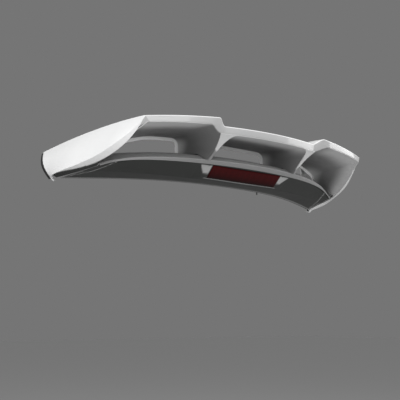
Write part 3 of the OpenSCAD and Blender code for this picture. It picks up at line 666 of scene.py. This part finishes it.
def duct_grid(rear, ahead, inwards, glow, lit):
    """Ruled wall between two outlines, lifted near its feet on to the base, with an inlet frame.

    The frame turns square to the outline's run, in the plane of the inlet and into the opening.
    `glow` is painted light on the wall beside the frame, and `lit` painted light beside the outlet.
    The frame itself is painted paler too.
    """
    start = rear + REAR_GAP * inwards * facing(rear) + [0, REAR_START, 0]
    grid = mix(start[:, None], ahead[:, None], np.linspace(0, 1, 26)[None, :])
    target = grid[0]
    lift = foot_height(target[:, 0], target[:, 1]) - target[:, 2]
    grid[..., 2] += near_foot(len(rear), len(rise))[:, None] * lift[None, :]
    frame_edge = ahead + FRAME_WIDTH * inwards * facing(ahead)
    grid = np.concatenate([grid, frame_edge[:, None]], 1)
    radii = np.zeros(grid.shape[1])
    radii[-2] = FRAME_RADIUS
    grid = fold(grid, radii, arc=6)
    share = (grid[..., 1] - grid[:, :1, 1]) / (ahead[:, 1] - rear[:, 1])[:, None]
    # Painted light on the wall beside the inlet and towards the outlet, and on the frame.
    walls = glow[:, None] * ease((share - 0.7) / 0.3) + lit[:, None] * ease((0.5 - share) / 0.4)
    return grid, np.maximum(line_tint(grid, frame_edge, FRAME_REACH), walls)


print("unit vector across a level line:", facing(inlet_roof(np.linspace(0, 10, 3)))[0])

# %% [markdown]
# The centre duct is made as one half and joined to its mirror image. The outer duct is made once for
# the right and mirrored for the left. Which points of an outline belong to its side, its roof or the
# fin is told from their number, and the painted light starts and ends there.

# %% Ducts
SIDE_STOP, ROOF_START, OUTER_ROOF_START, FIN_START = 24, 16, 28, 44
count = np.arange(len(centre[0]))
# The tints are painted light on the duct walls and frames.
half_duct, half_duct_light = duct_grid(*centre, -1.0, 0.5 * ease((SIDE_STOP - count) / 8),
                                 0.4 * ease((count - ROOF_START) / 8))
whole = np.concatenate([mirrored(half_duct), half_duct[-2::-1]])
whole_duct_light = np.concatenate([half_duct_light, half_duct_light[-2::-1]])
duct_centre = moulding("duct_centre_dressed", whole, THIN_WALL, ("duct_centre",),
                       tint=whole_duct_light)
count = np.arange(len(outer[0]))
outer_glow = 0.6 * ease((SIDE_STOP - count) / 8) + 0.6 * ease((count - FIN_START) / 8)
outer_duct, outer_duct_light = duct_grid(*outer, 1.0, outer_glow, 0.4 * ease((count - OUTER_ROOF_START) / 10))
duct_right = moulding("duct_right_dressed", outer_duct, THIN_WALL, ("duct_right",),
                      tint=outer_duct_light)
duct_left = moulding("duct_left_dressed", mirrored(outer_duct), THIN_WALL, ("duct_left",),
                     turned=True, tint=outer_duct_light)

# %% [markdown]
# A painted cap closes each pillar at the rear. It is narrow at its foot and spreads out under the
# band, so its grid runs across the pillar and up it at once. Its tint paints shade on the paint: a
# little all over, and more at the foot, where the base shades it. On the left that painted shade reaches
# higher.

# %% Pillar caps
SPREAD_START = 0.8
# Painted shade on the caps: more at the feet, higher on the left, and a little all over.
FOOT_SHADE, FOOT_SHADE_SLANT, LEFT_SHADE, CAP_PAINTED_SHADE = 0.30, 0.15, 0.50, 0.42
across, upwards = np.meshgrid(np.linspace(0, 1, 19), np.linspace(0, 1, 33), indexing="ij")


def cap_grid(c, up):
    """Cap surface: a blend across the pillar of its two edge lines, spreading towards the band."""
    t = up[0]
    inner = np.where((t < LEG)[:, None], inner_leg(t), inner_turn(np.clip((t - LEG) / (1 - LEG), 0, 1)))
    edges = mix(inner, outer_edge(up), c)
    top = band_edge(ROOF_IN + (TOP_OUT - ROOF_IN) * c) - [0, 0, 0.5]
    return mix(edges, top, ease((up - SPREAD_START) / (1 - SPREAD_START)) * arch(0.5 * up) ** 2)


cap = cap_grid(across, upwards)
# Painted shade of each cap, read by the white paint's tint.
cap_right_shade = np.maximum(ease((FOOT_SHADE + FOOT_SHADE_SLANT * across - upwards) / 0.08), CAP_PAINTED_SHADE)
cap_left_shade = np.maximum(ease((LEFT_SHADE - upwards) / 0.1), CAP_PAINTED_SHADE)
cap_right = moulding("pillar_cap_right_dressed", cap, THIN_WALL, ("pillar_cap_right",),
                     turned=True, tint=cap_right_shade)
cap_left = moulding("pillar_cap_left_dressed", mirrored(cap), THIN_WALL, ("pillar_cap_left",),
                    tint=cap_left_shade)

# %% [markdown]
# Between each end of the base and the fin beside it lies a closing face, which shows from behind as
# a dark triangle with a bright fold along it. It is ruled between the end of the base and the fin's
# inner line, and its first rows climb the lip's band. The brightness along its two edges is a painted
# highlight.

# %% End caps
FOLD_REACH, FOLD_HIGHLIGHT = 3.2, 0.6
CAP_START, FIN_START_SHARE, FIN_RUN_SHARE = -0.1, 0.41, 0.55


def end_line(t):
    """End of the lower half of the base, from the lip by way of the belly to the rim."""
    first = mix(lip_low(LIP_X), belly(LIP_X), np.clip(t / BELLY_SHARE, 0, 1))
    second = mix(belly(LIP_X), rim(LIP_X), np.clip((t - BELLY_SHARE) / (1 - BELLY_SHARE), 0, 1))
    return np.where((t < BELLY_SHARE)[:, None], first, second)


t = np.concatenate([np.linspace(CAP_START, -0.02, 5), np.linspace(0.03, 0.97, 30)])
lip_rise = lip_top(LIP_X) - lip_low(LIP_X)
inside = end_line(t) + [1.2, 0, 0] + lip_rise * np.clip(t / CAP_START, 0, 1)[:, None]
outside = fin_inner(FIN_START_SHARE + FIN_RUN_SHARE * t) + [-4.0, 1.0, 2.0]
end_grid = mix(inside[:, None], outside[:, None], np.linspace(0, 1, 25)[None, :])
# Painted highlights along both edges of the closing face.
end_highlight = FOLD_HIGHLIGHT * (line_tint(end_grid, inside, FOLD_REACH) + line_tint(end_grid, outside, FOLD_REACH))
end_right = moulding("end_cap_right_dressed", end_grid, END_WALL, ("end_cap_right",),
                     turned=True, tint=end_highlight)
end_left = moulding("end_cap_left_dressed", mirrored(end_grid), END_WALL, ("end_cap_left",),
                    tint=end_highlight)

# %% [markdown]
# The seals are plain rubber strips that follow the edges they protect: the front edge of each fin,
# the front of the base and the back of the rim.

# %% Seals
SEAL_WALL, SEAL_RIM = 3.0, 0.9
LEAN = 0.5 * unit(np.array([0, 16.0, -9.0]))


def strip(name, near, far, node, turned=False):
    """Rubber strip between two lines, with soft edges."""
    grid = np.stack([near, mix(near, far, 0.5), far], 1)
    return moulding(name, grid, SEAL_WALL, (node,), turned=turned, rim=SEAL_RIM)


edge = fin_side(np.linspace(0, 0.95, 24), np.ones(24))
near, far = edge + [-0.5, 4.0, -2.0], edge + [-0.5, 16.5, -3.0]
side_right = strip("side_seal_right_dressed", near, far, "side_seal_right")
side_left = strip("side_seal_left_dressed", mirrored(near), mirrored(far), "side_seal_left", True)
front_seal = strip("front_seal_dressed", front + [0, 0.75, -1.0], front + [0, 8.75, -3.0], "front_seal")
along_rim = rim_line[6:-6]
glass_seal = strip("glass_seal_dressed", along_rim + [0, 0.9, 1.6] + LEAN,
                   along_rim + [0, 7.2, 12.8] + LEAN, "glass_seal")

# %% [markdown]
# The lamp lens is a dark red moulding with a softly crowned face and a rim that steps down to its
# seat. It is a height field over the slope of the lamp: a flat face that rolls off at every edge.

# %% Lamp lens
LENS_HALF_LENGTH, LENS_HALF_DROP, LENS_WALL = 157.0, 28.0, 0.55
LENS_STEP, LENS_CROWN = 1.9, 0.5


def crowded(count):
    """Numbers from -1 to 1 that crowd towards both ends, by a sine."""
    return np.sin(np.linspace(-1, 1, count) * np.pi / 2)


def lens_grid():
    """Face of the lens over (a, b) in -1..1, set back at the edge by a steep power of each."""
    a, b = np.meshgrid(crowded(61), crowded(25), indexing="ij")
    drop = LENS_STEP * np.maximum(np.abs(a) ** 60, np.abs(b) ** 14) + LENS_CROWN * b ** 2
    middle = LENS_TOP + DOWN_LENS * LENS_HALF_DROP
    face = middle + DOWN_LENS * (LENS_HALF_DROP * b)[..., None] + points(LENS_HALF_LENGTH * a, 0, 0)
    return face - OFF_LENS * drop[..., None], (0.5 + 0.5 * b) ** 2


# The lens gets painted shade, darker down its slope.
lens_face, lens_shade = lens_grid()
lens = moulding("lamp_lens_dressed", lens_face, LENS_WALL, ("lamp_lens",),
                turned=True, rim=0, tint=lens_shade)

# %% [markdown]
# Finishes are made of shader nodes. To keep the maths readable, a small class wraps one output
# socket and gives it the usual operators, so that an expression adds its own Math nodes. Everything
# else comes from one method that takes the node's type, its settings and its inputs.

# %% Shader expressions
class Wire:
    """One output socket that can be added, subtracted and multiplied like a number."""

    def __init__(self, finish, socket):
        self.finish, self.socket = finish, socket

    def math(self, operation, other=0.5):
        """Math node with this wire as its first number. A sine or cosine doesn't read the other."""
        return self.finish.add("Math", {"operation": operation}, {0: self, 1: other})

    def __add__(self, other):
        return self.math("ADD", other)

    __radd__ = __add__

    def __mul__(self, other):
        return self.math("MULTIPLY", other)

    __rmul__ = __mul__

    def __sub__(self, other):
        return self.math("SUBTRACT", other)

    def __rsub__(self, other):
        return self.finish.add("Math", {"operation": "SUBTRACT"}, {0: other, 1: self})


class Finish:
    """One material, with its shader and the nodes that feed it."""

    def __init__(self, name, **constants):
        self.material = bpy.data.materials.new(name)
        self.material.use_nodes = True
        self.tree = self.material.node_tree
        self.shader = self.tree.nodes["Principled BSDF"]
        self.place = self.add("TexCoord", out="Object")
        for key, value in constants.items():
            self.feed(self.shader.inputs[key.replace("_", " ")], value)

    def feed(self, socket, value):
        """Links a wire to a socket, or sets the socket to a number or colour."""
        if isinstance(value, Wire):
            self.tree.links.new(value.socket, socket)
        else:
            socket.default_value = value

    def add(self, kind, settings=None, inputs=None, out=0):
        """Adds a node: its settings first, then its inputs. Returns one output as a wire."""
        node = self.tree.nodes.new("ShaderNode" + kind)
        for key, value in (settings or {}).items():
            setattr(node, key, value)
        for key, value in (inputs or {}).items():
            self.feed(node.inputs[key], value)
        return Wire(self, node.outputs[out])

    def noise(self, scale, detail=2.0, stretch=None):
        """Noise of that many cells a metre, stretched along the axes if asked."""
        place = self.place
        if stretch:
            place = self.add("Mapping", None, {"Vector": place, "Scale": stretch})
        return self.add("TexNoise", None, {"Vector": place, "Scale": scale, "Detail": detail})

    def colour(self, low, high, mask):
        """Colour between low and high by a mask."""
        return self.add("Mix", {"data_type": "RGBA"}, {0: mask, 6: (*low, 1), 7: (*high, 1)}, out=2)

    def tinted(self, base, tint):
        """Base colour blended to another by the piece's own tint."""
        share = self.add("Attribute", {"attribute_name": "tint"}, out="Fac")
        return self.add("Mix", {"data_type": "RGBA"}, {0: share, 6: base, 7: (*tint, 1)}, out=2)

    def bump(self, height, depth):
        """Normal from a height field, with the depth in metres."""
        return self.add("Bump", None, {"Height": height, "Distance": depth, "Strength": 1.0})

    def wear(self, **varying):
        """Feeds the shader's sockets that vary over the surface."""
        for key, value in varying.items():
            self.feed(self.shader.inputs[key.replace("_", " ")], value)
        return self.material


print("shader helpers are ready")

# %% [markdown]
# The wing's paint is white with a clear coat. Real paint is never quite flat: it has orange peel of
# a few millimetres, a faint unevenness in its white, and a film of dust that dulls some places. The
# piece's own tint paints shade on it: on the face of the band and on the pillar caps.

# %% White paint
paint = Finish("white_paint", IOR=1.5, Coat_Roughness=0.04, Coat_IOR=1.5)
cloud, peel, dust = paint.noise(5.0, 3.0), paint.noise(260.0, 1.0), paint.noise(38.0, 6.0)
sprayed = paint.colour((0.78, 0.785, 0.79), (0.86, 0.86, 0.855), cloud)
# The tint paints shade in dark grey on the band's face and the pillar caps.
white = paint.wear(Base_Color=paint.tinted(sprayed, (0.2, 0.2, 0.2)),
                   Roughness=0.24 + 0.16 * dust, Coat_Weight=0.75 - 0.3 * dust,
                   Normal=paint.bump(peel, 0.00012))
print("made", white.name)

# %% [markdown]
# Ducts and base are moulded in grey plastic with a satin skin. Its grain is a fine spark-eroded
# texture, and the flow of the plastic leaves slightly darker and duller clouds. The ducts get a darker
# copy of it, which paints the shade inside the tunnels, and the tint paints light on to them.

# %% Satin grey plastic
def satin_plastic(name, low, high):
    """Satin finish between two greys, blended to pale grey by the tint, which paints light."""
    satin = Finish(name, IOR=1.46)
    flow, grain = satin.noise(3.5, 4.0, (1, 2.5, 2.5)), satin.noise(1400.0, 2.0)
    rub = satin.noise(60.0, 5.0)
    moulded = satin.colour((low, low, low), (high, high, high), flow)
    return satin.wear(Base_Color=satin.tinted(moulded, (0.92, 0.92, 0.92)),
                      Roughness=0.42 + 0.2 * rub, Normal=satin.bump(grain, 0.00006))


# The ducts' darker grey is the same plastic with painted shade.
grey, duct_shaded_grey = satin_plastic("satin_grey", 0.25, 0.31), satin_plastic("duct_shaded_grey", 0.15, 0.19)
print("made", grey.name, "and", duct_shaded_grey.name)

# %% [markdown]
# The lower mouldings are black. Their grain is coarser, like fine leather, which a Voronoi pattern
# gives, and dust lightens them a little. Their tint paints highlights in pale grey on edges and
# folds. The lamp's body is a smoother black.

# %% Grained black plastic
black = Finish("grained_black", IOR=1.46)
cells = black.add("TexVoronoi", {"feature": "SMOOTH_F1"}, {"Vector": black.place, "Scale": 900.0})
film = black.noise(22.0, 6.0)
dusty = black.colour((0.016, 0.017, 0.016), (0.028, 0.030, 0.028), film)
# The tint paints highlights in pale grey on edges and folds of the lower mouldings.
dark = black.wear(Base_Color=black.tinted(dusty, (0.55, 0.55, 0.55)),
                  Roughness=0.45 + 0.2 * film, Normal=black.bump(cells, 0.00008))
lamp_body = Finish("lamp_black", IOR=1.46)
speck = lamp_body.noise(700.0, 2.0)
smooth_black = lamp_body.colour((0.012, 0.012, 0.012), (0.03, 0.03, 0.03), speck)
lamp_dark = lamp_body.wear(Base_Color=smooth_black,
                           Roughness=0.4 + 0.2 * speck, Normal=lamp_body.bump(speck, 0.00004))
print("made", dark.name, "and", lamp_dark.name)

# %% [markdown]
# Rubber is matt and very dark, with a dry bloom on it. Screws and studs are zinc plated steel, whose
# thin layer is drawn in streaks along the part.

# %% Rubber and steel
seal = Finish("seal_rubber", IOR=1.5)
bloom, pores = seal.noise(45.0, 6.0), seal.noise(1800.0, 2.0)
rubber = seal.wear(Base_Color=seal.colour((0.008, 0.008, 0.008), (0.022, 0.022, 0.022), bloom),
                   Roughness=0.62 + 0.2 * bloom, Normal=seal.bump(pores, 0.00005))
zinc = Finish("zinc_steel", Metallic=1.0)
streak, spangle = zinc.noise(500.0, 3.0, (1, 1, 0.05)), zinc.noise(90.0, 4.0)
steel = zinc.wear(Base_Color=zinc.colour((0.50, 0.50, 0.52), (0.66, 0.66, 0.64), spangle),
                  Roughness=0.26 + 0.2 * spangle, Normal=zinc.bump(streak, 0.00003))
print("made", rubber.name, "and", steel.name)

# %% [markdown]
# The lens is dark red acrylic. Fine upright flutes run behind its face and the lamp's emitters show
# as faint paler spots, so its colour varies across it while its face stays smooth and glossy. Both
# are waves along x, with their rates in radians a metre, and the tint paints shade on the lens, darker
# downwards.

# %% Dark red lens
FLUTE_RATE, SPOT_RATE = 2400.0, 241.0
red = Finish("red_lens", IOR=1.35, Specular_IOR_Level=0.17)
split = red.add("SeparateXYZ", None, {"Vector": red.place}, out="X")
flutes = (split * FLUTE_RATE).math("SINE")
spots = (split * SPOT_RATE).math("COSINE")
mask = flutes * 0.1 + spots * 0.1 + 0.5
fluted = red.colour((0.028, 0.0015, 0.002), (0.054, 0.0025, 0.003), mask)
# The tint paints shade near black, darker down the lens.
lens_red = red.wear(Base_Color=red.tinted(fluted, (0.004, 0.0006, 0.0007)),
                    Roughness=0.10 + 0.06 * mask, Normal=red.bump(flutes, 0.00004))
print("made", lens_red.name)

# %% [markdown]
# Inside the lamp are a bright metallised reflector, a green board and its pale emitters. They are
# seldom seen, and they still get their own grain.

# %% Lamp internals
bright = Finish("metallised", Metallic=0.9)
haze = bright.noise(120.0, 4.0)
mirror = bright.wear(Base_Color=bright.colour((0.62, 0.62, 0.63), (0.75, 0.75, 0.75), haze),
                     Roughness=0.1 + 0.15 * haze)
green = Finish("board_green", IOR=1.5)
weave = green.add("TexWave", None, {"Vector": green.place, "Scale": 300.0, "Distortion": 1.0})
board = green.wear(Base_Color=green.colour((0.02, 0.11, 0.04), (0.04, 0.18, 0.07), weave),
                   Roughness=0.35 + 0.15 * weave)
chip = Finish("emitter", IOR=1.5)
phosphor = chip.noise(400.0, 2.0)
emitter = chip.wear(Base_Color=chip.colour((0.78, 0.74, 0.55), (0.86, 0.84, 0.75), phosphor),
                    Roughness=0.3 + 0.2 * phosphor)
print("made", mirror.name, board.name, emitter.name)

# %% [markdown]
# Each piece gets the finish of its real counterpart. A dressed piece takes it in place of all its
# slots. A node of the rigid frame keeps its mesh as it is, and only its slots are filled.

# %% Finishes on the pieces
COATS = {white: (wing_skin, cap_left, cap_right), grey: (base_shell,),
         duct_shaded_grey: (duct_left, duct_centre, duct_right),
         dark: (base_underside, end_left, end_right), lens_red: (lens,),
         rubber: (side_left, side_right, front_seal, glass_seal)}
for coat, dressed in COATS.items():
    for piece in dressed:
        piece.data.materials.clear()
        piece.data.materials.append(coat)
NODE_COATS = {dark: ("stud_towers", "locating_pins", "pillar_core_left", "pillar_core_right"),
              rubber: ("stud_seals", "lamp_gasket"), steel: ("studs", "pillar_screws", "lamp_screws"),
              lamp_dark: ("lamp_housing", "lamp_connector"), mirror: ("lamp_reflector",),
              board: ("lamp_board",), emitter: ("lamp_leds",)}
for coat, names in NODE_COATS.items():
    for name in names:
        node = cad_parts[name]
        for slot in node.material_slots:
            slot.material = coat
        if not node.material_slots:
            node.data.materials.append(coat)
print("coated", sum(map(len, COATS.values())), "pieces and", sum(map(len, NODE_COATS.values())), "nodes")

# %% [markdown]
# The floor is pale and plain. White paint needs something darker behind it, so behind the piece lies
# an even mid grey, as of a paper backdrop in a studio. Only the camera, mirrors and clear parts see
# that grey: the light that reaches the piece from the floor and all round is that of a pale room.

# %% Floor and world
BACKDROP, FLOOR_SEEN, FLOOR_LIT = (0.178, 0.178, 0.178), (0.42, 0.42, 0.42), (0.6, 0.6, 0.6)
FLOOR_HALF, FLOOR_Z = 30.0, -1.5
SKY_STRENGTH = 0.42


def seen_directly(finish):
    """Mask that is 1 for camera, glossy and transmission rays, and 0 for diffuse ones."""
    camera_ray = finish.add("LightPath", out="Is Camera Ray")
    glossy = finish.add("LightPath", out="Is Glossy Ray")
    through = finish.add("LightPath", out="Is Transmission Ray")
    return camera_ray.math("MAXIMUM", glossy).math("MAXIMUM", through)


class Sky(Finish):
    """The world's nodes, made with the same methods as a material's."""

    def __init__(self, world):
        world.use_nodes = True
        self.material, self.tree = world, world.node_tree
        self.shader = self.tree.nodes["Background"]


ground = Finish("pale_floor", Roughness=0.9)
ground.wear(Base_Color=ground.colour(FLOOR_LIT, FLOOR_SEEN, seen_directly(ground)))
floor_corners = [(FLOOR_HALF * x, FLOOR_HALF * y, FLOOR_Z) for x, y in ((-1, -1), (1, -1), (1, 1), (-1, 1))]
floor_mesh = bpy.data.meshes.new("floor")
floor_mesh.from_pydata(floor_corners, [], [(0, 1, 2, 3)])
floor_mesh.materials.append(ground.material)
floor = bpy.data.objects.new("floor", floor_mesh)
bpy.context.collection.objects.link(floor)
world = bpy.data.worlds.new("studio")
bpy.context.scene.world = world
sky = Sky(world)
direct = seen_directly(sky)
sky.wear(Color=sky.colour((1.0, 1.0, 1.0), BACKDROP, direct),
         Strength=SKY_STRENGTH + (1 - SKY_STRENGTH) * direct)
print("the floor lies", -FLOOR_Z, "m below the frame's origin")

# %% [markdown]
# Four large soft lamps light the piece. The key lamp stands high on the left, a weaker one hangs
# overhead, one on the right brightens the far fin, and a low one behind the viewer reaches into the
# ducts. They are strong enough for the paint to come out white, and weak enough to keep its shading.

# %% Lamps
LAMPS = {"key": ((-3.6, -0.8, 2.1), (0, -0.2, 0), 2.5, 92.0),
         "top": ((0.6, -0.6, 3.2), (0, -0.2, 0), 3.0, 25.0),
         "rear": ((3.4, -1.8, 1.0), (0, -0.1, 0), 2.5, 62.0),
         "low": ((-0.8, -3.2, 0.3), (0, 0, 0.05), 2.5, 55.0)}


def soft_lamp(name, place, target, size, power):
    """Square area lamp at a place, turned towards a target: its axes are the matrix's columns."""
    data = bpy.data.lights.new(name, "AREA")
    data.size, data.energy = size, power
    lamp = bpy.data.objects.new(name, data)
    away = unit(np.array(place, float) - np.array(target, float))
    across = unit(np.cross([0, 0, 1.0], away))
    turned = np.eye(4)
    turned[:3] = np.stack([across, np.cross(away, across), away, place], 1)
    lamp.matrix_world = Matrix(turned.tolist())
    bpy.context.collection.objects.link(lamp)


for name, (place, target, size, power) in LAMPS.items():
    soft_lamp(name, place, target, size, power)
bpy.context.scene.view_settings.view_transform = "Standard"
print("lamps:", ", ".join(LAMPS))
